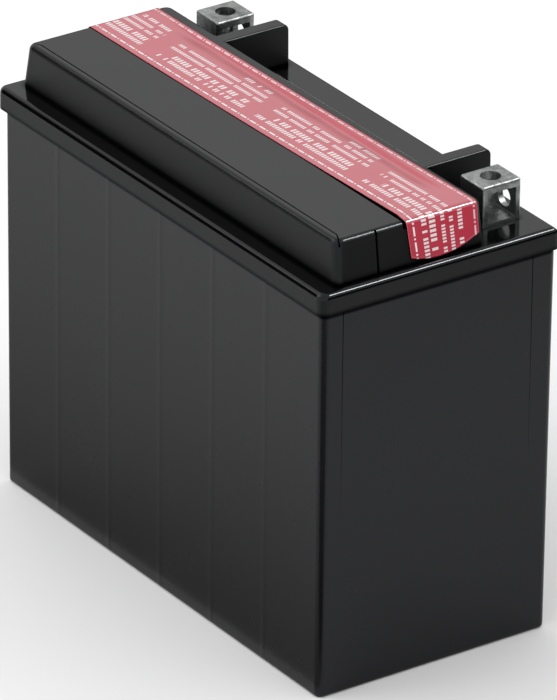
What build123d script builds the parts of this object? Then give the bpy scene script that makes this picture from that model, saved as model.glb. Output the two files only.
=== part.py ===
from build123d import *
from math import radians, tan
import os

os.makedirs("parts", exist_ok=True)

# Frame: origin at the middle of the base, +X along the length, +Y towards the terminals, +Z up.
# All sizes in millimetres.

# ---- overall ----
length = 175.0
width = 87.0
joint_z = 128.3
rim_height = 7.0
rim_top = joint_z + rim_height
block_height = 14.0
block_top = rim_top + block_height

press_gap = 0.02

# ---- container ----
overhang_front = 1.75
overhang_rear = 0.85
case_length = length - 2 * overhang_front
case_width = width - overhang_front - overhang_rear
case_y = (overhang_front - overhang_rear) / 2
case_radius = 2.4
case_draft = 0.35
floor_thickness = 3.0
cell_count = 6
cell_pitch = 28.0
partition = 1.8
cell_length = cell_pitch - partition
cell_width = 78.8
cell_radius = 2.0
base_edge = 1.2
end_groove_width = 0.4
end_groove_depth = 0.2
end_groove_bottom = 1.7
end_groove_spacing = 68.4
end_groove_y = -0.4

# ---- cover ----
rim_radius = 3.1
rim_edge = 1.8
deck_thickness = 3.0
rear_bevel = 2.7
block_base_length = 169.3
block_top_length = 165.6
block_front_base = -36.4
block_front_top = -35.5
block_rear_base = 17.6
block_rear_top = 16.8
block_corner = 3.0
block_edge = 1.8
root = 0.5
fin_inner = 50.6
fin_thickness = 5.2
fin_rear = 39.6
fin_foot = 39.8
fin_corner = 2.2
fin_edge = 0.6

# ---- gas chamber in the front half of the block ----
chamber_length = 160.0
chamber_front = -31.0
chamber_rear = -14.2
lid_front = -32.3
lid_rear = -11.7
lid_corner_x = 78.8
lid_flare = 1.6
lid_flare_end = 82.3
lid_thickness = 2.2
lid_gap = 0.45
lid_rear_gap = 1.3
nipple_diameter = 8.0
nipple_bore = 4.0
nipple_height = 6.2
nipple_y = (chamber_front + chamber_rear) / 2
vent_slit_y = -21.3
vent_slit_width = 0.8
slit_bottom = rim_top + 0.8
stop_diameter = 4.0
filter_diameter = 10.0
filter_thickness = 2.0
filter_z = rim_top + 6.2

# ---- filling channel in the rear half of the block ----
channel_length = 159.0
channel_front = -8.8
channel_rear = 11.5
channel_corner = 3.0
channel_depth = 3.3
channel_y = (channel_front + channel_rear) / 2
channel_floor = block_top - channel_depth
channel_floor_thickness = 2.5
cavity_front = -11.7
cavity_rear = 14.7
cavity_half_length = 82.0
port_outer = 16.0
port_bore = 12.0
port_bottom = joint_z + 2.7

# ---- plug strip, its seals and the film over it ----
strip_length = 152.0
strip_width = 9.0
strip_corner = 4.4
strip_thickness = 2.2
plug_flange = 14.0
plug_diameter = 11.4
plug_length = 8.0
plug_core = 8.0
plug_web = 1.5
plug_edge = 0.6
strip_edge = 0.4
seal_groove = 9.6
seal_outer = 11.9
seal_height = 1.9
seal_z = channel_floor - 4.5
film_width = 25.3
film_y = 0.7
film_skew = 1.03
film_thickness = 0.3
film_gap = 0.2
film_bend = 1.6
tab_tip = rim_top + 0.7
tab_sagitta = 2.7
short_fold = 6.0

# ---- terminals ----
terminal_x = 70.0
terminal_y = 29.1
terminal_length = 12.0
terminal_width = 14.0
terminal_top = rim_top + 13.4
terminal_wall = 2.0
terminal_edge = 0.8
pocket_width = 10.2
pocket_corner = 0.6
pocket_bottom = rim_top + 1.1
pocket_top = terminal_top - 2.5
bolt_hole = 6.4
side_hole_z = rim_top + 5.4
shank_diameter = 9.0
shank_gap = 0.1
shank_bottom = joint_z - 1.3
boss_diameter = 17.0
resin_diameter = 14.0
resin_top = joint_z + 3.5
ring_section = 1.7
ring_groove = 12.6
ring_groove_height = 1.8
ring_gap = 0.05
ring_z = resin_top + ring_groove_height / 2

# ---- plates, separators and straps ----
positive_count = 5
positive_thickness = 1.9
negative_count = 6
negative_thickness = 1.4
separator_thickness = 0.82
plate_width = 73.0
plate_bottom = floor_thickness + 1.5
plate_top = 104.0
separator_width = 76.0
separator_top = 107.0
lug_width = 10.0
strap_bottom = 109.0
strap_thickness = 5.0
strap_top = strap_bottom + strap_thickness
strap_width = 12.0
strap_length = 25.2
strap_y = 26.5
upright_thickness = 3.0
upright_top = 125.0
weld_diameter = 8.0
weld_z = 119.5

# ---- safety valve caps ----
cap_diameter = 11.0
cap_bore = 8.5
cap_bottom = rim_top + 1.1
cap_seat = 0.1
cap_roof = rim_top + nipple_height + cap_seat
cap_top = rim_top + 7.7
cap_travel = 0.8
cap_stop_gap = 0.3
cap_edge = 0.6

cells = range(1, cell_count + 1)
cell_x = {n: (n - (cell_count + 1) / 2) * cell_pitch for n in cells}
partition_x = [cell_x[n] + cell_pitch / 2 for n in cells if n < cell_count]


def save(piece, name):
    piece.label = name
    export_step(piece, f"parts/{name}.step")


def is_rear(n, positive):
    """The polarity sides swap from cell to cell; the end cells meet the terminals at the rear."""
    return (n % 2 == 0) == positive


def strap_side(n, positive):
    return strap_y if is_rear(n, positive) else case_y - (strap_y - case_y)


def block_sections():
    """Base and top outlines of the raised block, for a loft with drafted sides."""
    levels = [
        (rim_top - root, block_base_length, block_front_base, block_rear_base),
        (block_top, block_top_length, block_front_top, block_rear_top),
    ]
    sections = []
    for z, size_x, front, rear in levels:
        with BuildSketch(Plane.XY.offset(z)) as outline:
            with Locations((0, (front + rear) / 2)):
                RectangleRounded(size_x, rear - front, block_corner)
        sections.append(outline.sketch)
    return sections


def lid_outline(z, gap, rear_gap):
    """Plan of the chamber lid: its front line flares outwards at the ends of the block."""
    half = length / 2
    flared = lid_front - lid_flare - gap
    with BuildSketch(Plane.XY.offset(z)) as outline:
        with BuildLine():
            Polyline(
                (-half, lid_rear + rear_gap),
                (half, lid_rear + rear_gap),
                (half, flared),
                (lid_flare_end, flared),
                (lid_corner_x, lid_front - gap),
                (-lid_corner_x, lid_front - gap),
                (-lid_flare_end, flared),
                (-half, flared),
                close=True,
            )
        make_face()
    return outline.sketch


# ================= container =================
with BuildPart() as container:
    with BuildSketch():
        with Locations((0, case_y)):
            RectangleRounded(case_length - 2 * case_draft, case_width - 2 * case_draft, case_radius)
    with BuildSketch(Plane.XY.offset(joint_z)):
        with Locations((0, case_y)):
            RectangleRounded(case_length, case_width, case_radius)
    loft()
    fillet(container.edges().group_by(Axis.Z)[0], base_edge)
    with BuildSketch(Plane.XY.offset(floor_thickness)):
        with Locations(*[(cell_x[n], case_y) for n in cells]):
            RectangleRounded(cell_length, cell_width, cell_radius)
    extrude(amount=joint_z, mode=Mode.SUBTRACT)
    # round windows in the partitions for the intercell welds
    for n in cells:
        if n < cell_count:
            with BuildSketch(Plane.YZ.offset(cell_x[n])):
                with Locations((strap_side(n, True), weld_z)):
                    Circle(weld_diameter / 2)
            extrude(amount=cell_pitch / 2 + partition, mode=Mode.SUBTRACT)
    # two faint upright lines on each end
    with BuildSketch(Plane.XY.offset(end_groove_bottom)):
        with Locations((0, end_groove_y)):
            with GridLocations(case_length, end_groove_spacing, 2, 2):
                Rectangle(2 * end_groove_depth, end_groove_width)
    extrude(amount=joint_z, mode=Mode.SUBTRACT)
save(container.part, "container")

# ================= cover =================
fin_front = block_rear_top - fin_thickness

with BuildPart() as fin:
    with BuildSketch(Plane.YZ.offset(fin_inner)):
        with BuildLine():
            Polyline(
                (fin_front, rim_top - root),
                (fin_foot, rim_top - root),
                (fin_rear, block_top),
                (fin_front, block_top),
                close=True,
            )
        face = make_face()
        fillet(face.vertices().sort_by(Axis.Y)[-2:].sort_by(Axis.X)[-1:], fin_corner)
    extrude(amount=fin_thickness)
    fillet(fin.edges().filter_by(Axis.Y).group_by(Axis.Z)[-1], fin_edge)

with BuildPart() as cover:
    with BuildSketch(Plane.XY.offset(joint_z)):
        RectangleRounded(length, width, rim_radius)
    extrude(amount=rim_height)
    fillet(cover.edges().group_by(Axis.Z)[-1], rim_edge)
    # the rear edge of the rim is bevelled outside the fins
    bevel_start = fin_inner + fin_thickness
    for x in (bevel_start, -length / 2):
        with BuildSketch(Plane.YZ.offset(x)):
            with BuildLine():
                Polyline(
                    (width / 2 - rear_bevel, rim_top),
                    (width / 2, rim_top),
                    (width / 2, rim_top - rear_bevel),
                    close=True,
                )
            make_face()
        extrude(amount=length / 2 - bevel_start, mode=Mode.SUBTRACT)
    # raised block and the fins behind it
    loft(sections=block_sections())
    fillet(cover.edges().group_by(Axis.Z)[-1], block_edge)
    add(fin.part)
    mirror(fin.part, about=Plane.YZ)
    # seat of the chamber lid, and the gas chamber below it
    seat = lid_outline(block_top - lid_thickness, lid_gap, lid_rear_gap)
    extrude(seat, amount=block_height, mode=Mode.SUBTRACT)
    with BuildSketch(Plane.XY.offset(rim_top)):
        with Locations((0, nipple_y)):
            Rectangle(chamber_length, chamber_rear - chamber_front)
    extrude(amount=block_height, mode=Mode.SUBTRACT)
    # filling channel along the top
    with BuildSketch(Plane.XY.offset(channel_floor)):
        with Locations((0, channel_y)):
            RectangleRounded(channel_length, channel_rear - channel_front, channel_corner)
    extrude(amount=block_height, mode=Mode.SUBTRACT)
    # headspace of each cell under the deck, and the deeper one under the filling channel
    with BuildSketch(Plane.XY.offset(joint_z)):
        with Locations(*[(cell_x[n], case_y) for n in cells]):
            RectangleRounded(cell_length, cell_width, cell_radius)
    extrude(amount=rim_height - deck_thickness, mode=Mode.SUBTRACT)
    cavity_roof = channel_floor - channel_floor_thickness
    with BuildSketch(Plane.XY.offset(joint_z)):
        for n in cells:
            low = max(cell_x[n] - cell_length / 2, -cavity_half_length)
            high = min(cell_x[n] + cell_length / 2, cavity_half_length)
            with Locations(((low + high) / 2, (cavity_front + cavity_rear) / 2)):
                Rectangle(high - low, cavity_rear - cavity_front)
    extrude(amount=cavity_roof - joint_z, mode=Mode.SUBTRACT)
    # filling tubes, vent nipples and terminal bosses
    with BuildSketch(Plane.XY.offset(port_bottom)):
        with Locations(*[(cell_x[n], channel_y) for n in cells]):
            Circle(port_outer / 2)
    extrude(amount=channel_floor - port_bottom)
    with BuildSketch(Plane.XY.offset(rim_top - deck_thickness)):
        with Locations(*[(cell_x[n], nipple_y) for n in cells]):
            Circle(nipple_diameter / 2)
    extrude(amount=deck_thickness + nipple_height)
    with BuildSketch(Plane.XY.offset(joint_z)):
        with Locations((-terminal_x, terminal_y), (terminal_x, terminal_y)):
            Circle(boss_diameter / 2)
    extrude(amount=rim_height - deck_thickness)
    # their bores
    with BuildSketch(Plane.XY.offset(joint_z)):
        with Locations(*[(cell_x[n], channel_y) for n in cells]):
            Circle(port_bore / 2)
        with Locations(*[(cell_x[n], nipple_y) for n in cells]):
            Circle(nipple_bore / 2)
    extrude(amount=rim_height + block_height, mode=Mode.SUBTRACT)
    for bottom, top, diameter in (
        (joint_z, rim_top, shank_diameter + 2 * shank_gap),
        (joint_z, resin_top, resin_diameter),
        (resin_top, resin_top + ring_groove_height, ring_groove),
    ):
        with BuildSketch(Plane.XY.offset(bottom)):
            with Locations((-terminal_x, terminal_y), (terminal_x, terminal_y)):
                Circle(diameter / 2)
        extrude(amount=top - bottom, mode=Mode.SUBTRACT)
    # gas outlet at the near end: a round seat for the flame filter and a tall slit behind it
    with BuildSketch(Plane.YZ.offset(chamber_length / 2)):
        with Locations((vent_slit_y, filter_z)):
            Circle(filter_diameter / 2)
    extrude(amount=filter_thickness, mode=Mode.SUBTRACT)
    with BuildSketch(Plane.YZ.offset(chamber_length / 2 + filter_thickness)):
        with Locations((vent_slit_y, (slit_bottom + block_top) / 2)):
            Rectangle(vent_slit_width, block_top - slit_bottom)
    extrude(amount=block_height, mode=Mode.SUBTRACT)
save(cover.part, "cover")

# ================= chamber lid =================
with BuildPart() as vent_cover:
    loft(sections=block_sections())
    fillet(vent_cover.edges().group_by(Axis.Z)[-1], block_edge)
    extrude(lid_outline(block_top - lid_thickness, 0, 0), amount=block_height, mode=Mode.INTERSECT)
    with BuildSketch(Plane.XY.offset(block_top - lid_thickness)):
        with Locations(*[(cell_x[n], nipple_y) for n in cells]):
            Circle(stop_diameter / 2)
    extrude(amount=cap_top + cap_travel + cap_stop_gap - (block_top - lid_thickness))
    with BuildSketch(Plane.YZ.offset(chamber_length / 2 + filter_thickness)):
        with Locations((vent_slit_y, block_top)):
            Rectangle(vent_slit_width, 3 * lid_thickness)
    extrude(amount=block_height, mode=Mode.SUBTRACT)
save(vent_cover.part, "vent_cover")

# ================= flame filter =================
with BuildPart() as flame_filter:
    with BuildSketch(Plane.YZ.offset(chamber_length / 2)):
        with Locations((vent_slit_y, filter_z)):
            Circle(filter_diameter / 2 - press_gap)
    extrude(amount=filter_thickness)
save(flame_filter.part, "flame_filter")

# ================= safety valve caps =================
for n in cells:
    with BuildPart() as safety_valve:
        with BuildSketch(Plane.XY.offset(cap_bottom)):
            with Locations((cell_x[n], nipple_y)):
                Circle(cap_diameter / 2)
        extrude(amount=cap_top - cap_bottom)
        chamfer(safety_valve.edges().group_by(Axis.Z)[-1], cap_edge)
        with BuildSketch(Plane.XY.offset(cap_bottom)):
            with Locations((cell_x[n], nipple_y)):
                Circle(cap_bore / 2)
        extrude(amount=cap_roof - cap_bottom, mode=Mode.SUBTRACT)
    save(safety_valve.part, f"safety_valve_{n}")

# ================= plug strip and its seals =================
with BuildPart() as plug_strip:
    with BuildSketch(Plane.XY.offset(channel_floor)):
        with Locations((0, channel_y)):
            RectangleRounded(strip_length, strip_width, strip_corner)
        with Locations(*[(cell_x[n], channel_y) for n in cells]):
            Circle(plug_flange / 2)
    extrude(amount=strip_thickness)
    chamfer(plug_strip.edges().group_by(Axis.Z)[-1], strip_edge)
    with BuildSketch(Plane.XY.offset(channel_floor)):
        with Locations(*[(cell_x[n], channel_y) for n in cells]):
            Circle(plug_diameter / 2)
    extrude(amount=-plug_length)
    chamfer(plug_strip.edges().group_by(Axis.Z)[0], plug_edge)
    with BuildSketch(Plane.XY.offset(channel_floor - plug_length)):
        with Locations(*[(cell_x[n], channel_y) for n in cells]):
            Circle(plug_core / 2)
    extrude(amount=plug_length - plug_web, mode=Mode.SUBTRACT)
    with BuildSketch(Plane.XY.offset(seal_z)):
        with Locations(*[(cell_x[n], channel_y) for n in cells]):
            Circle(plug_flange / 2)
            Circle(seal_groove / 2, mode=Mode.SUBTRACT)
    extrude(amount=seal_height, mode=Mode.SUBTRACT)
save(plug_strip.part, "plug_strip")

with BuildPart() as plug_seals:
    with BuildSketch(Plane.XY.offset(seal_z)):
        with Locations(*[(cell_x[n], channel_y) for n in cells]):
            Circle(seal_outer / 2)
            Circle(seal_groove / 2 + press_gap, mode=Mode.SUBTRACT)
    extrude(amount=seal_height)
save(plug_seals.part, "plug_seals")

# ================= sealing film =================
end_slope = (block_base_length - block_top_length) / 2 / (block_height + root)


def film_line(offset_from_block):
    """Points of the film's lengthwise section, a given distance off the block, far end to near end."""
    z_top = block_top + offset_from_block
    x_top = block_top_length / 2 + offset_from_block
    x_tip = x_top + (z_top - tab_tip) * end_slope
    z_fold = z_top - short_fold
    x_fold = x_top + short_fold * end_slope
    return [(-x_fold, z_fold), (-x_top, z_top), (x_top, z_top), (x_tip, tab_tip)]


with BuildPart() as seal_film:
    with BuildSketch(Plane.XZ.offset(-width / 2)):
        with BuildLine():
            inner = FilletPolyline(*film_line(film_gap), radius=film_bend)
            outer = FilletPolyline(*film_line(film_gap + film_thickness), radius=film_bend + film_thickness)
            Line(inner @ 0, outer @ 0)
            Line(inner @ 1, outer @ 1)
        make_face()
    extrude(amount=width)
    # stuck on slightly askew
    with BuildSketch():
        with Locations((0, film_y)):
            Rectangle(length, film_width, rotation=film_skew)
    extrude(amount=block_top + block_height, mode=Mode.INTERSECT)
    # the near tab has a round end
    tab_y = film_y + block_base_length / 2 * tan(radians(film_skew))
    tab_radius = ((film_width / 2) ** 2 + tab_sagitta**2) / (2 * tab_sagitta)
    with BuildSketch(Plane.YZ.offset(block_top_length / 2)):
        with Locations((tab_y, tab_tip)):
            Rectangle(width, 2 * tab_sagitta)
        with Locations((tab_y, tab_tip + tab_radius)):
            Circle(tab_radius, mode=Mode.SUBTRACT)
    extrude(amount=block_height, mode=Mode.SUBTRACT)
save(seal_film.part, "seal_film")


# ================= terminals =================
def make_terminal(x, name):
    """Cast hollow block with a bolt hole on top and at the back, and a nut pocket open to +X."""
    with BuildPart() as terminal:
        with BuildSketch(Plane.XY.offset(rim_top)):
            with Locations((x, terminal_y)):
                Rectangle(terminal_length, terminal_width)
        extrude(amount=terminal_top - rim_top)
        fillet(terminal.edges().filter_by(Axis.Z), terminal_edge)
        fillet(terminal.edges().group_by(Axis.Z)[-1], terminal_edge)
        with BuildSketch(Plane.YZ.offset(x - terminal_length / 2 + terminal_wall)):
            with Locations((terminal_y, (pocket_bottom + pocket_top) / 2)):
                RectangleRounded(pocket_width, pocket_top - pocket_bottom, pocket_corner)
        extrude(amount=terminal_length, mode=Mode.SUBTRACT)
        with BuildSketch(Plane.XY.offset(pocket_bottom)):
            with Locations((x, terminal_y)):
                Circle(bolt_hole / 2)
        extrude(amount=terminal_top - pocket_bottom, mode=Mode.SUBTRACT)
        with BuildSketch(Plane.XZ.offset(-terminal_y)):
            with Locations((x, side_hole_z)):
                Circle(bolt_hole / 2)
        extrude(amount=-terminal_width, mode=Mode.SUBTRACT)
        with BuildSketch(Plane.XY.offset(rim_top)):
            with Locations((x, terminal_y)):
                Circle(shank_diameter / 2)
        extrude(amount=shank_bottom - rim_top)
    save(terminal.part, name)


make_terminal(terminal_x, "terminal_positive")
make_terminal(-terminal_x, "terminal_negative")

with BuildPart() as terminal_o_rings:
    with Locations((-terminal_x, terminal_y, ring_z), (terminal_x, terminal_y, ring_z)):
        Torus((shank_diameter + ring_section) / 2 + ring_gap, ring_section / 2)
save(terminal_o_rings.part, "terminal_o_rings")

with BuildPart() as terminal_resin:
    with BuildSketch(Plane.XY.offset(joint_z)):
        with Locations((-terminal_x, terminal_y), (terminal_x, terminal_y)):
            Circle(resin_diameter / 2 - press_gap)
            Circle(shank_diameter / 2 + press_gap, mode=Mode.SUBTRACT)
    extrude(amount=resin_top - joint_z)
save(terminal_resin.part, "terminal_resin")

# ================= cells =================
stack_pitch = positive_thickness + negative_thickness + 2 * separator_thickness
stack_length = negative_count * stack_pitch - positive_thickness - 2 * separator_thickness


def plate_centres(n, positive):
    first = cell_x[n] - stack_length / 2 + negative_thickness / 2
    if positive:
        return [first + (k + 0.5) * stack_pitch for k in range(positive_count)]
    return [first + k * stack_pitch for k in range(negative_count)]


def make_plates(n, positive, thickness, name):
    """Flat plates on edge, each with a lug on top."""
    centres = plate_centres(n, positive)
    with BuildPart() as plates:
        with BuildSketch(Plane.XY.offset(plate_bottom)):
            with Locations(*[(x, case_y) for x in centres]):
                Rectangle(thickness, plate_width)
        extrude(amount=plate_top - plate_bottom)
        with BuildSketch(Plane.XY.offset(plate_top)):
            with Locations(*[(x, strap_side(n, positive)) for x in centres]):
                Rectangle(thickness, lug_width)
        extrude(amount=strap_bottom - plate_top)
    save(plates.part, name)


def make_separators(n):
    offset_x = (negative_thickness + separator_thickness) / 2
    centres = []
    for x in plate_centres(n, False)[:-1]:
        centres.append(x + offset_x)
        centres.append(x + stack_pitch - offset_x)
    with BuildPart() as separators:
        with BuildSketch(Plane.XY.offset(floor_thickness)):
            with Locations(*[(x, case_y) for x in centres]):
                Rectangle(separator_thickness, separator_width)
        extrude(amount=separator_top - floor_thickness)
    save(separators.part, f"separators_cell_{n}")


def make_strap(n, positive, name):
    """Lead bar over the lugs, with an upright at the partition or a pillar under the terminal."""
    y = strap_side(n, positive)
    side = 1 if positive else -1
    at_end = n == (cell_count if positive else 1)
    with BuildPart() as strap:
        with BuildSketch(Plane.XY.offset(strap_bottom)):
            with Locations((cell_x[n], y)):
                Rectangle(strap_length, strap_width)
        extrude(amount=strap_thickness)
        if at_end:
            with BuildSketch(Plane.XY.offset(strap_top)):
                with Locations((side * terminal_x, terminal_y)):
                    Circle(shank_diameter / 2)
            extrude(amount=shank_bottom - strap_top)
        else:
            face_x = cell_x[n] + side * cell_length / 2
            with BuildSketch(Plane.XY.offset(strap_bottom)):
                with Locations((face_x - side * upright_thickness / 2, y)):
                    Rectangle(upright_thickness, strap_width)
            extrude(amount=upright_top - strap_bottom)
    save(strap.part, name)


for n in cells:
    make_plates(n, True, positive_thickness, f"positive_plates_cell_{n}")
    make_plates(n, False, negative_thickness, f"negative_plates_cell_{n}")
    make_separators(n)
    make_strap(n, True, f"positive_strap_cell_{n}")
    make_strap(n, False, f"negative_strap_cell_{n}")

with BuildPart() as intercell_welds:
    for n, x in zip(cells, partition_x):
        with BuildSketch(Plane.YZ.offset(x - partition / 2)):
            with Locations((strap_side(n, True), weld_z)):
                Circle(weld_diameter / 2 - press_gap)
        extrude(amount=partition)
save(intercell_welds.part, "intercell_welds")
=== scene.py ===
"""A sealed six-cell motorcycle battery: black moulded case and cover, lead terminals and a red seal film."""

import math

import bmesh
import bpy
from mathutils import Matrix, Vector, noise


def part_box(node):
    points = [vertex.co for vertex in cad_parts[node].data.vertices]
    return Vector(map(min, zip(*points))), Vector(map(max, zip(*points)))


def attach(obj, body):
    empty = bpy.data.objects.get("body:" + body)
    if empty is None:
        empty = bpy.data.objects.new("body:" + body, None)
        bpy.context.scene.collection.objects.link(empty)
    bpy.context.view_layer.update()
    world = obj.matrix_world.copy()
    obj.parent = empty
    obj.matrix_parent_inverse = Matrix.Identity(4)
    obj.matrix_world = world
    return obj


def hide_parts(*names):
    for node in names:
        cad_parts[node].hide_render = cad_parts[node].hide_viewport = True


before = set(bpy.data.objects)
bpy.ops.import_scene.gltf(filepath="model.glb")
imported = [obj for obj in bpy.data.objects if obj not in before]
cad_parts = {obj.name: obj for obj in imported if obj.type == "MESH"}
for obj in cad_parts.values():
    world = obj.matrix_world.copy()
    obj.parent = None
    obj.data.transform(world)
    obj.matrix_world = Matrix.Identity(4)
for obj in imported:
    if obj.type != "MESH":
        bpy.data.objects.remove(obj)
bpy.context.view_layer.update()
MM = 0.001

# ---- camera, as fitted to the photograph's perspective ----
CAMERA_AT = Vector((2.0594, -1.4255, 1.3246))
LOOK_AT = Vector((0.00268, 0.00007, 0.07069))
ROLL = math.radians(0.664)
LENS_MM = 473.9
SENSOR_MM = 36.0
WORLD_LIGHT = 0.93
FLOOR_HALF = 4.0

# ---- places taken from the frame ----
FILM_LOW, FILM_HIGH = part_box("seal_film")
JOINT_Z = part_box("cover")[0].z
BLOCK_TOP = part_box("vent_cover")[1].z

# ---- the seal film ----
FILM_THICK = 0.12 * MM
FILM_LIFT = 0.1 * MM
FILM_BEND = 1.6 * MM
FILM_WIDTH = 24.9 * MM
FILM_Y = 0.45 * MM
FILM_SKEW = 0.0165
FILM_BOW = 0.08
END_SLOPE = 0.1276
FOLD_INSET = 0.4 * MM
FOLD_STEPS = 12
FAR_DROP = 6.3 * MM
TAB_ARC = 10.5 * MM
TAB_LOWEST = 0.4
DIP_FRONT, DIP_DEEPEST, DIP_REAR = 2.6 * MM, 9.9 * MM, 11.5 * MM
DIP_LEAN = 1.7
DIP_END = 75.0 * MM
DIP_FADE = 20.0 * MM
DIP_DEPTH = 0.68 * MM
DIP_UNEVEN = 0.25
DIP_NOISE = (70, 60, 4.0)
EDGE_CURL = 0.08 * MM
CURL_START, CURL_WIDE = 0.92, 0.08
RIPPLE_HIGH = 0.02 * MM
RIPPLE_NOISE = (120, 260, 1.7)
HANG_LENGTH, HANG_OFF = 9.0 * MM, 0.25 * MM
HANG_FRONT, HANG_MORE = 0.4, 0.6
FLAP_FLARE = 0.6 * MM
FLAP_LENGTH = 14.0 * MM
FLAP_LEAD = 5.0 * MM
FILM_ROWS, FILM_COLUMNS = 300, 74


# ================= small helpers =================
def smooth(t):
    """0 below 0, 1 above 1, and an even rise between."""
    t = min(max(t, 0.0), 1.0)
    return t * t * (3 - 2 * t)


def new_object(name, mesh):
    """Links a mesh to the scene as an object of that name."""
    obj = bpy.data.objects.new(name, mesh)
    bpy.context.scene.collection.objects.link(obj)
    return obj


def unevenness(x, y, scale):
    """Smooth noise at a place; scale holds its fineness along x and along y, and a third place to sample."""
    return noise.noise(Vector((x * scale[0], y * scale[1], scale[2])))


# ================= the seal film =================
def film_section():
    """Lengthwise line of the film's underside, far fold to near tab, as (x, z) pairs at even steps."""
    top = BLOCK_TOP + FILM_LIFT
    x_top = FILM_HIGH.x - (FILM_HIGH.z - FILM_LOW.z) * END_SLOPE - FOLD_INSET
    far_end = FILM_HIGH.z - FAR_DROP
    corners = [
        (-x_top - (top - far_end) * END_SLOPE, far_end),
        (-x_top, top),
        (x_top, top),
        (x_top + (top - FILM_LOW.z) * END_SLOPE, FILM_LOW.z),
    ]
    points = [Vector(corners[0])]
    for before, here, after in zip(corners, corners[1:], corners[2:]):
        before, here, after = Vector(before), Vector(here), Vector(after)
        into, out = (before - here).normalized(), (after - here).normalized()
        half = into.angle(out) / 2
        run = FILM_BEND / math.tan(half)
        centre = here + (into + out).normalized() * FILM_BEND / math.sin(half)
        start, end = here + into * run - centre, here + out * run - centre
        turn = start.angle_signed(end)
        for k in range(FOLD_STEPS + 1):
            angle = -turn * k / FOLD_STEPS
            c, s = math.cos(angle), math.sin(angle)
            points.append(centre + Vector((start.x * c - start.y * s, start.x * s + start.y * c)))
    points.append(Vector(corners[3]))
    return points


def at_length(points, s):
    """(point, direction) at arc length s along a line of points."""
    for a, b in zip(points, points[1:]):
        step = (b - a).length
        if s <= step or b is points[-1]:
            return a + (b - a) * (s / step), (b - a) / step
        s -= step


def film_middle(x):
    """The film's centre line in plan: stuck on slightly askew, and bowed a little."""
    return FILM_Y + FILM_SKEW * x + FILM_BOW * x * x


def flap_flare(left):
    """How far the front edge stands out, a length before the tip: most at the fold, drawn in at the end."""
    if left > FLAP_LENGTH:
        return FLAP_FLARE * (1 - smooth((left - FLAP_LENGTH) / FLAP_LEAD))
    return FLAP_FLARE * (2 * left / FLAP_LENGTH - 1)


def film_sag(x, y):
    """How far the film sinks into the filling channel behind the plug strip."""
    front = max(0.0, (y - DIP_FRONT) / (DIP_DEEPEST - DIP_FRONT)) ** DIP_LEAN
    rear = (DIP_REAR - y) / (DIP_REAR - DIP_DEEPEST)
    ends = smooth((DIP_END - abs(x)) / DIP_FADE)
    uneven = 1 + DIP_UNEVEN * unevenness(x, y, DIP_NOISE)
    return DIP_DEPTH * smooth(front) * smooth(rear) * ends * uneven


def make_film():
    """The printed film, bent over both ends of the block, with a rounded pull tab at the near end."""
    line = film_section()
    length = sum((b - a).length for a, b in zip(line, line[1:]))
    mesh = bpy.data.meshes.new("seal_film_printed")
    build = bmesh.new()
    uv = build.loops.layers.uv.new("UVMap")
    grid = []
    for i in range(FILM_ROWS + 1):
        row = []
        for j in range(FILM_COLUMNS + 1):
            across = j / FILM_COLUMNS
            reach = length - TAB_ARC * (across - TAB_LOWEST) ** 2
            s = reach * i / FILM_ROWS
            point, along = at_length(line, s)
            y = film_middle(point.x) + FILM_WIDTH * (across - 0.5) - flap_flare(length - s) * (1 - across)
            away = Vector((-along.y, along.x))
            on_top = smooth(abs(along.x))
            ripple = RIPPLE_HIGH * unevenness(point.x, y, RIPPLE_NOISE)
            curl = EDGE_CURL * smooth((across - CURL_START) / CURL_WIDE)
            lift = ripple + curl - film_sag(point.x, y) * on_top
            hang = smooth((s - (length - HANG_LENGTH)) / HANG_LENGTH)
            lift += HANG_OFF * hang * (HANG_FRONT + HANG_MORE * across)
            place = point + away * lift
            row.append((build.verts.new((place.x, y, place.y)), (FILM_WIDTH * across, s)))
        grid.append(row)
    for i in range(FILM_ROWS):
        for j in range(FILM_COLUMNS):
            ring = [grid[i][j], grid[i][j + 1], grid[i + 1][j + 1], grid[i + 1][j]]
            face = build.faces.new([vert for vert, _ in ring])
            face.smooth = True
            for loop, (_, place) in zip(face.loops, ring):
                loop[uv].uv = place
    bmesh.ops.recalc_face_normals(build, faces=build.faces)
    build.to_mesh(mesh)
    build.free()
    film = new_object("seal_film_printed", mesh)
    shell = film.modifiers.new("thickness", "SOLIDIFY")
    shell.thickness = FILM_THICK
    shell.offset = 1.0
    return film, (FILM_WIDTH, length)


film, film_flat = make_film()
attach(film, "film")
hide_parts("seal_film")


# ================= materials =================
PARTITIONS = (-56.0 * MM, -28.0 * MM, 0.0, 28.0 * MM, 56.0 * MM)
BAND_WIDE = 1.1 * MM
BAND_HIGH = 0.5
PLASTIC_TINT = (0.94, 0.97, 1.0)
CLOUD_LIGHTER, POWDER_LIGHTER = 1.5, 1.9
# painted shade in narrow creases, from ambient occlusion: how far it looks, and the occlusion at which the
# shade is full and gone
CREASE_REACH = 2.2 * MM
CREASE_DARK, CREASE_CLEAR = 0.74, 0.93
# painted shade along the joint line: how far from it the seam stays fully shaded, and where the shine is
# back
COVER_SEAM_SHADE = (0.1 * MM, 1.4 * MM)
CASE_SEAM_SHADE = (1.5 * MM, 2.2 * MM)
# how much painted shade there is at the joint line itself
SEAM_SHADE_MOST = 0.95
TOP_EDGE = 2.0 * MM


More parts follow.
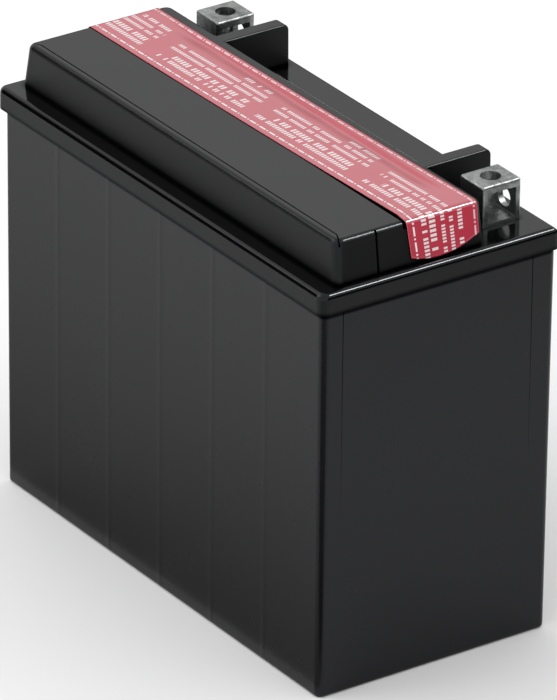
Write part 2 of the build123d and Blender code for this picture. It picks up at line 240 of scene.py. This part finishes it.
class Nodes:
    """A material's node tree with short calls for the nodes used here."""

    def __init__(self, name):
        self.material = bpy.data.materials.new(name)
        self.material.use_nodes = True
        self.tree = self.material.node_tree
        self.shader = self.tree.nodes["Principled BSDF"]

    def add(self, kind, inputs=(), **settings):
        node = self.tree.nodes.new(kind)
        for key, value in settings.items():
            setattr(node, key, value)
        for key, value in dict(inputs).items():
            self.feed(node.inputs[key], value)
        return node

    def feed(self, socket, value):
        if isinstance(value, bpy.types.NodeSocket):
            self.tree.links.new(value, socket)
        else:
            socket.default_value = value

    def set(self, **values):
        for key, value in values.items():
            self.feed(self.shader.inputs[key.replace("_", " ")], value)

    def math(self, operation, a, b=0.0, c=0.0, clamp=False):
        node = self.add("ShaderNodeMath", operation=operation, use_clamp=clamp)
        for socket, value in zip(node.inputs, (a, b, c)):
            self.feed(socket, value)
        return node.outputs[0]

    def place(self):
        return self.add("ShaderNodeTexCoord").outputs["Object"]

    def noise(self, scale, detail=3.0, rough=0.5, vector=None):
        vector = vector or self.place()
        inputs = {"Vector": vector, "Scale": scale, "Detail": detail, "Roughness": rough}
        return self.add("ShaderNodeTexNoise", inputs).outputs["Fac"]

    def stretch(self, x, y, z):
        node = self.add("ShaderNodeMapping", {"Vector": self.place(), "Scale": (x, y, z)})
        return node.outputs["Vector"]

    def blend(self, factor, first, second):
        node = self.add("ShaderNodeMix", data_type="RGBA")
        self.feed(node.inputs[0], factor)
        self.feed(node.inputs[6], first)
        self.feed(node.inputs[7], second)
        return node.outputs[2]

    def span(self, value, low, high, from_low=0.0, from_high=1.0):
        inputs = {"Value": value, "From Min": from_low, "From Max": from_high, "To Min": low, "To Max": high}
        return self.add("ShaderNodeMapRange", inputs).outputs[0]

    def bump(self, height, distance, strength=1.0, under=None):
        inputs = {"Height": height, "Distance": distance, "Strength": strength}
        if under:
            inputs["Normal"] = under
        return self.add("ShaderNodeBump", inputs).outputs[0]


def rgb(r, g, b):
    return (r, g, b, 1.0)


def painted_seam_shade(n, seam_shade, shade_creases):
    """Painted shade: 1 where the shine is taken away, in the seam under the rim and in narrow creases."""
    shade = 0.0
    if shade_creases:
        # painted shade: ambient occlusion darkens narrow creases
        open_air = n.add("ShaderNodeAmbientOcclusion", {"Distance": CREASE_REACH}, samples=8).outputs["AO"]
        shade = n.span(open_air, 1.0, 0.0, CREASE_DARK, CREASE_CLEAR)
    # painted shade along the seam, fading out with distance from the joint line
    z = n.add("ShaderNodeSeparateXYZ", {"Vector": n.place()}).outputs["Z"]
    away = n.math("ABSOLUTE", n.math("SUBTRACT", z, JOINT_Z))
    return n.math("MAXIMUM", n.span(away, SEAM_SHADE_MOST, 0.0, *seam_shade), shade)


def moulded_plastic(name, shade, rough, grain, gloss=0.5, sides=0.0, seam_shade=None, shade_creases=False, bands=()):
    """Injection-moulded polypropylene: fine grain, slight sink marks and an uneven sheen.

    Upright faces and the block's top edges are rougher by sides, and bands are the x places of the sink
    lines over the partitions.
    """
    n = Nodes(name)
    cloud = n.noise(45.0, 4.0)
    dust = n.noise(900.0, 2.0)
    place = n.add("ShaderNodeSeparateXYZ", {"Vector": n.place()})
    lighter = [CLOUD_LIGHTER * c for c in shade]
    n.set(Base_Color=n.blend(n.span(cloud, 0.0, 1.0, 0.3, 0.7), rgb(*shade), rgb(*lighter)))
    roughness = n.math("ADD", n.span(cloud, rough - 0.03, rough + 0.03), n.span(dust, -0.03, 0.03))
    if sides:
        normal = n.add("ShaderNodeSeparateXYZ", {"Vector": n.add("ShaderNodeTexCoord").outputs["Normal"]})
        flat_from = n.span(place.outputs["Z"], 0.3, 0.97, BLOCK_TOP - 1.2 * TOP_EDGE, BLOCK_TOP - TOP_EDGE)
        upright = n.span(n.math("ABSOLUTE", normal.outputs["Z"]), sides, 0.0, 0.08, flat_from)
        roughness = n.math("ADD", roughness, upright)
    n.set(Roughness=roughness, Specular_IOR_Level=gloss, Specular_Tint=rgb(*PLASTIC_TINT))
    # painted shade: Metallic on the near-black base takes the reflection away in the seam and the creases
    if seam_shade:
        n.set(Metallic=painted_seam_shade(n, seam_shade, shade_creases))
    height = n.noise(28.0, 1.0)
    for band in bands:
        away = n.math("DIVIDE", n.math("SUBTRACT", place.outputs["X"], band), BAND_WIDE)
        ridge = n.math("EXPONENT", n.math("MULTIPLY", n.math("MULTIPLY", away, away), -1.0))
        height = n.math("ADD", height, n.math("MULTIPLY", ridge, BAND_HIGH))
    sink = n.bump(height, 0.12 * MM)
    n.set(Normal=n.bump(n.noise(2600.0, 2.0, 0.6), grain, 1.0, sink))
    return n.material


def cast_lead(name, dark, light, rough):
    """Dull cast lead: blotchy oxide, casting ripples and small pits."""
    n = Nodes(name)
    blotch = n.noise(260.0, 6.0, 0.62)
    fine = n.noise(1400.0, 4.0, 0.6)
    mix = n.math("ADD", n.span(blotch, 0.0, 0.8, 0.32, 0.68), n.span(fine, -0.15, 0.3, 0.3, 0.7), clamp=True)
    n.set(Base_Color=n.blend(mix, rgb(*dark), rgb(*light)), Metallic=1.0)
    n.set(Roughness=n.span(blotch, rough + 0.1, rough - 0.08, 0.3, 0.7))
    ripple = n.bump(blotch, 0.25 * MM)
    n.set(Normal=n.bump(fine, 0.05 * MM, 1.0, ripple))
    return n.material


def soft_rubber(name, shade):
    """Matte moulded rubber with a powdery surface."""
    n = Nodes(name)
    powder = n.noise(1200.0, 4.0)
    lighter = [POWDER_LIGHTER * c for c in shade]
    n.set(Base_Color=n.blend(powder, rgb(*shade), rgb(*lighter)))
    n.set(Roughness=n.span(powder, 0.6, 0.8))
    n.set(Normal=n.bump(powder, 0.04 * MM))
    return n.material


def pasted_plate(name, dark, light):
    """Cured active paste: gritty, with the grid's wires showing faintly as raised lines."""
    n = Nodes(name)
    grit = n.noise(1100.0, 6.0, 0.7)
    patch = n.noise(90.0, 3.0)
    tone = n.span(n.math("MULTIPLY", grit, patch), 0.0, 1.0, 0.12, 0.4)
    n.set(Base_Color=n.blend(tone, rgb(*dark), rgb(*light)))
    n.set(Roughness=n.span(grit, 0.85, 0.7))
    inputs = {"Vector": n.place(), "Scale": 32.0}
    wires = n.add("ShaderNodeTexWave", inputs, bands_direction="Z", wave_profile="SIN")
    raised = n.bump(n.math("POWER", wires.outputs["Fac"], 6.0), 0.15 * MM)
    n.set(Normal=n.bump(grit, 0.12 * MM, 1.0, raised))
    return n.material


def glass_fibre(name):
    """White absorbent glass mat: matted fibres."""
    n = Nodes(name)
    fibre = n.noise(900.0, 6.0, 0.75, n.stretch(1.0, 0.25, 1.0))
    n.set(Base_Color=n.blend(fibre, rgb(0.62, 0.62, 0.6), rgb(0.86, 0.86, 0.84)))
    n.set(Roughness=0.95, Sheen_Weight=0.3)
    n.set(Normal=n.bump(fibre, 0.2 * MM))
    return n.material


def porous_disc(name):
    """Sintered flame filter: pale grains with dark pores."""
    n = Nodes(name)
    grains = n.add("ShaderNodeTexVoronoi", {"Vector": n.place(), "Scale": 2600.0})
    gap = n.span(grains.outputs["Distance"], 0.0, 1.0, 0.2, 0.75)
    n.set(Base_Color=n.blend(gap, rgb(0.66, 0.63, 0.57), rgb(0.2, 0.19, 0.17)), Roughness=0.9)
    n.set(Normal=n.bump(grains.outputs["Distance"], 0.1 * MM))
    return n.material


def potting_resin(name):
    """Glossy poured resin with a slow waviness."""
    n = Nodes(name)
    flow = n.noise(180.0, 2.0)
    n.set(Base_Color=n.blend(flow, rgb(0.02, 0.02, 0.024), rgb(0.045, 0.045, 0.05)))
    n.set(Roughness=n.span(flow, 0.08, 0.18))
    n.set(Normal=n.bump(flow, 0.2 * MM))
    return n.material


# ---- the film's print: plain dashes and dots along both edges, and rows of plain short bars between ----
PRINT_PERIOD = 54.4 * MM
PRINT_START = 32.4 * MM
DASH_PITCH, DASH_LONG, DASH_WIDE = 4.95 * MM, 3.0 * MM, 0.6 * MM
DASH_START = 4.75 * MM
DOT_AT, DOT_LONG = 3.95 * MM, 0.6 * MM
DASH_INSET = (2.2 * MM, 1.2 * MM)
BAR_DUTY = 0.62
BAR_SKIP = 0.14
BAR_INK = 0.85
REAR_DASH_INK = 0.6
INK_COVER = 0.94
# distance from the front edge, height, bar spacing, and where in the period a row starts and ends
BAR_ROWS = (
    (5.9 * MM, 1.8 * MM, 1.2 * MM, 0.0, 0.875),
    (8.8 * MM, 2.2 * MM, 1.45 * MM, 0.11, 0.845),
    (12.5 * MM, 1.35 * MM, 1.0 * MM, 0.0, 0.88),
    (15.4 * MM, 1.35 * MM, 1.0 * MM, 0.0, 0.85),
    (18.6 * MM, 1.6 * MM, 1.15 * MM, 0.56, 0.825),
)


def within(n, value, centre, wide):
    """1 where value is within wide / 2 of centre."""
    return n.math("LESS_THAN", n.math("ABSOLUTE", n.math("SUBTRACT", value, centre)), wide / 2)


def dash_lines(n, across, along, width):
    """The dash and dot line near each edge."""
    pitches = n.math("DIVIDE", n.math("SUBTRACT", along, DASH_START), DASH_PITCH)
    step = n.math("MULTIPLY", n.math("FRACT", pitches), DASH_PITCH)
    marks = n.math("MAXIMUM", n.math("LESS_THAN", step, DASH_LONG), within(n, step, DOT_AT, DOT_LONG))
    front = within(n, across, DASH_INSET[0], DASH_WIDE)
    rear = within(n, across, width - DASH_INSET[1], DASH_WIDE)
    return n.math("MULTIPLY", marks, n.math("MAXIMUM", front, n.math("MULTIPLY", rear, REAR_DASH_INK)))


def bar_row(n, across, along, place, row, key):
    """One row of short bars, some of them left out like the gaps between words."""
    centre, height, spacing, start, end = row
    cell = n.math("DIVIDE", along, spacing)
    where = n.add("ShaderNodeCombineXYZ", {"X": n.math("FLOOR", cell), "Y": key}).outputs[0]
    chance = n.add("ShaderNodeTexWhiteNoise", {"Vector": where}).outputs["Value"]
    kept = n.math("GREATER_THAN", chance, BAR_SKIP)
    inked = n.math("MULTIPLY", kept, n.math("LESS_THAN", n.math("FRACT", cell), BAR_DUTY))
    inside = n.math("MULTIPLY", n.math("GREATER_THAN", place, start), n.math("LESS_THAN", place, end))
    return n.math("MULTIPLY", n.math("MULTIPLY", inked, inside), within(n, across, centre, height))


def print_mask(n, across, along, width):
    """Where the film is printed white."""
    place = n.math("FRACT", n.math("DIVIDE", n.math("SUBTRACT", along, PRINT_START), PRINT_PERIOD))
    mask = dash_lines(n, across, along, width)
    for k, row in enumerate(BAR_ROWS):
        bars = n.math("MULTIPLY", bar_row(n, across, along, place, row, float(k)), BAR_INK)
        mask = n.math("MAXIMUM", mask, bars)
    return mask


def printed_film(name, width):
    """Semi-gloss red film with white print, faint stretch marks and a slight haze."""
    n = Nodes(name)
    uv = n.add("ShaderNodeUVMap", uv_map="UVMap").outputs[0]
    split = n.add("ShaderNodeSeparateXYZ", {"Vector": uv})
    mask = print_mask(n, split.outputs["X"], split.outputs["Y"], width)
    haze = n.noise(70.0, 3.0)
    red = n.blend(haze, rgb(0.46, 0.027, 0.055), rgb(0.53, 0.04, 0.073))
    n.set(Base_Color=n.blend(n.math("MULTIPLY", mask, INK_COVER), red, rgb(0.92, 0.88, 0.88)))
    n.set(Roughness=n.math("ADD", n.span(haze, 0.2, 0.3), n.math("MULTIPLY", mask, 0.1)))
    n.set(Coat_Weight=1.0, Coat_Roughness=0.14, Coat_IOR=1.6)
    stretch = n.noise(140.0, 3.0, 0.5, n.stretch(0.35, 1.6, 1.0))
    n.set(Normal=n.bump(stretch, 0.05 * MM, 1.0, n.bump(mask, 0.01 * MM)))
    return n.material


# ================= finishes on the pieces =================
CASE = moulded_plastic(
    "case_polypropylene", (0.0018, 0.0018, 0.0025), 0.26, 0.008 * MM,
    gloss=0.3, seam_shade=CASE_SEAM_SHADE, bands=PARTITIONS,
)
COVER = moulded_plastic(
    "cover_polypropylene", (0.001, 0.001, 0.0013), 0.12, 0.005 * MM,
    gloss=0.32, sides=0.38, seam_shade=COVER_SEAM_SHADE, shade_creases=True,
)
TERMINAL = cast_lead("terminal_cast_lead", (0.15, 0.16, 0.155), (0.46, 0.48, 0.465), 0.36)
STRAP = cast_lead("strap_cast_lead", (0.16, 0.165, 0.18), (0.34, 0.35, 0.37), 0.5)
POSITIVE = pasted_plate("positive_lead_dioxide_paste", (0.05, 0.022, 0.014), (0.13, 0.065, 0.04))
NEGATIVE = pasted_plate("negative_sponge_lead_paste", (0.13, 0.135, 0.14), (0.26, 0.265, 0.27))
GLASS_MAT = glass_fibre("absorbent_glass_mat")
RESIN = potting_resin("potting_resin")
VALVE = soft_rubber("valve_rubber", (0.02, 0.02, 0.02))
SEAL = soft_rubber("seal_rubber", (0.014, 0.014, 0.014))
PLUG = moulded_plastic("plug_polypropylene", (0.24, 0.24, 0.25), 0.38, 0.012 * MM)
FILTER = porous_disc("sintered_filter")
FINISH = {
    "container": CASE,
    "cover": COVER,
    "vent_cover": COVER,
    "flame_filter": FILTER,
    "safety_valve": VALVE,
    "plug_strip": PLUG,
    "plug_seals": SEAL,
    "seal_film": SEAL,
    "terminal_positive": TERMINAL,
    "terminal_negative": TERMINAL,
    "terminal_o_rings": SEAL,
    "terminal_resin": RESIN,
    "intercell_welds": STRAP,
    "positive_plates": POSITIVE,
    "negative_plates": NEGATIVE,
    "separators": GLASS_MAT,
    "positive_strap": STRAP,
    "negative_strap": STRAP,
}


def dress(obj, material):
    """Gives an object that material alone."""
    obj.data.materials.clear()
    obj.data.materials.append(material)


for node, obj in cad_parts.items():
    dress(obj, next(FINISH[key] for key in FINISH if node.startswith(key)))
dress(film, printed_film("seal_film_print", film_flat[0]))


# ================= floor, light and camera =================
def rectangle(x, y):
    """Corners of a flat rectangle with those half sides."""
    return [(-x, -y, 0), (x, -y, 0), (x, y, 0), (-x, y, 0)]


def make_floor():
    """A plain pale sheet under the battery."""
    mesh = bpy.data.meshes.new("floor")
    mesh.from_pydata(rectangle(FLOOR_HALF, FLOOR_HALF), [], [(0, 1, 2, 3)])
    floor = new_object("floor", mesh)
    n = Nodes("floor_paper")
    n.set(Base_Color=rgb(0.97, 0.97, 0.97), Roughness=0.9, Specular_IOR_Level=0.0)
    dress(floor, n.material)


def aimed(obj, place):
    """Puts an object at a place, facing the battery."""
    obj.location = place
    obj.rotation_euler = (LOOK_AT - Vector(place)).to_track_quat("-Z", "Y").to_euler()


def softbox(name, place, size, radiance, only_glints=False):
    """A rectangular area light aimed at the battery; with only_glints it shows in reflections alone."""
    light = bpy.data.lights.new(name, "AREA")
    light.shape = "RECTANGLE"
    light.size, light.size_y = size
    light.energy = radiance * math.pi * size[0] * size[1]
    obj = bpy.data.objects.new(name, light)
    aimed(obj, place)
    obj.visible_diffuse = not only_glints
    bpy.context.scene.collection.objects.link(obj)


def dark_flag(name, place, size, density=(1.0, 1.0), flat=False):
    """A black card that only shows in reflections, as a studio uses to deepen a glossy black side.

    It faces the battery unless it lies flat, and its density runs from its lower (-Y) to its upper edge.
    """
    x, y = size[0] / 2, size[1] / 2
    low, high = density
    mesh = bpy.data.meshes.new(name)
    mesh.from_pydata(rectangle(x, y), [], [(0, 1, 2, 3)])
    card = new_object(name, mesh)
    card.visible_camera = card.visible_diffuse = card.visible_shadow = False
    if flat:
        card.location = place
    else:
        aimed(card, place)
    n = Nodes(name)
    n.set(Base_Color=rgb(0.0, 0.0, 0.0), Specular_IOR_Level=0.0, Alpha=low)
    if high != low:
        up = n.add("ShaderNodeSeparateXYZ", {"Vector": n.place()}).outputs["Y"]
        share = n.math("POWER", n.span(up, 0.0, 1.0, -y, y), 2.0)
        n.set(Alpha=n.math("MULTIPLY_ADD", share, high - low, low))
    dress(card, n.material)


def make_world():
    """An even white studio."""
    world = bpy.data.worlds.new("studio")
    world.use_nodes = True
    bpy.context.scene.world = world
    world.node_tree.nodes["Background"].inputs["Color"].default_value = rgb(1.0, 1.0, 1.0)
    world.node_tree.nodes["Background"].inputs["Strength"].default_value = WORLD_LIGHT


def make_camera():
    """The camera at the photograph's viewing angle."""
    data = bpy.data.cameras.new("camera")
    data.lens = LENS_MM
    data.sensor_width = SENSOR_MM
    data.clip_start, data.clip_end = 0.1, 20.0
    camera = bpy.data.objects.new("camera", data)
    bpy.context.scene.collection.objects.link(camera)
    aim = (LOOK_AT - CAMERA_AT).to_track_quat("-Z", "Y").to_matrix().to_4x4()
    camera.matrix_world = Matrix.Translation(CAMERA_AT) @ aim @ Matrix.Rotation(ROLL, 4, "Z")
    bpy.context.scene.camera = camera


make_floor()
make_world()
make_camera()
softbox("key", (-1.1, -1.3, 1.5), (1.8, 1.8), 1.3)
softbox("edge_glint", (0.53, 0.77, 1.25), (0.5, 0.16), 40.0, only_glints=True)
dark_flag("flag_right", (0.36, 0.22, 0.12), (0.6, 0.24))
dark_flag("flag_back", (-0.9, 0.85, 0.3), (1.3, 0.62), (1.0, 0.0))
dark_flag("flag_left", (-0.6, -0.46, 0.3), (0.38, 0.6))
dark_flag("flag_floor", (-0.1, -0.17, 0.001), (0.5, 0.25), (0.0, 0.55), flat=True)
dark_flag("flag_corner", (0.22, -0.2, 0.0012), (0.24, 0.29), (0.8, 0.8), flat=True)
bpy.context.scene.view_settings.view_transform = "Standard"
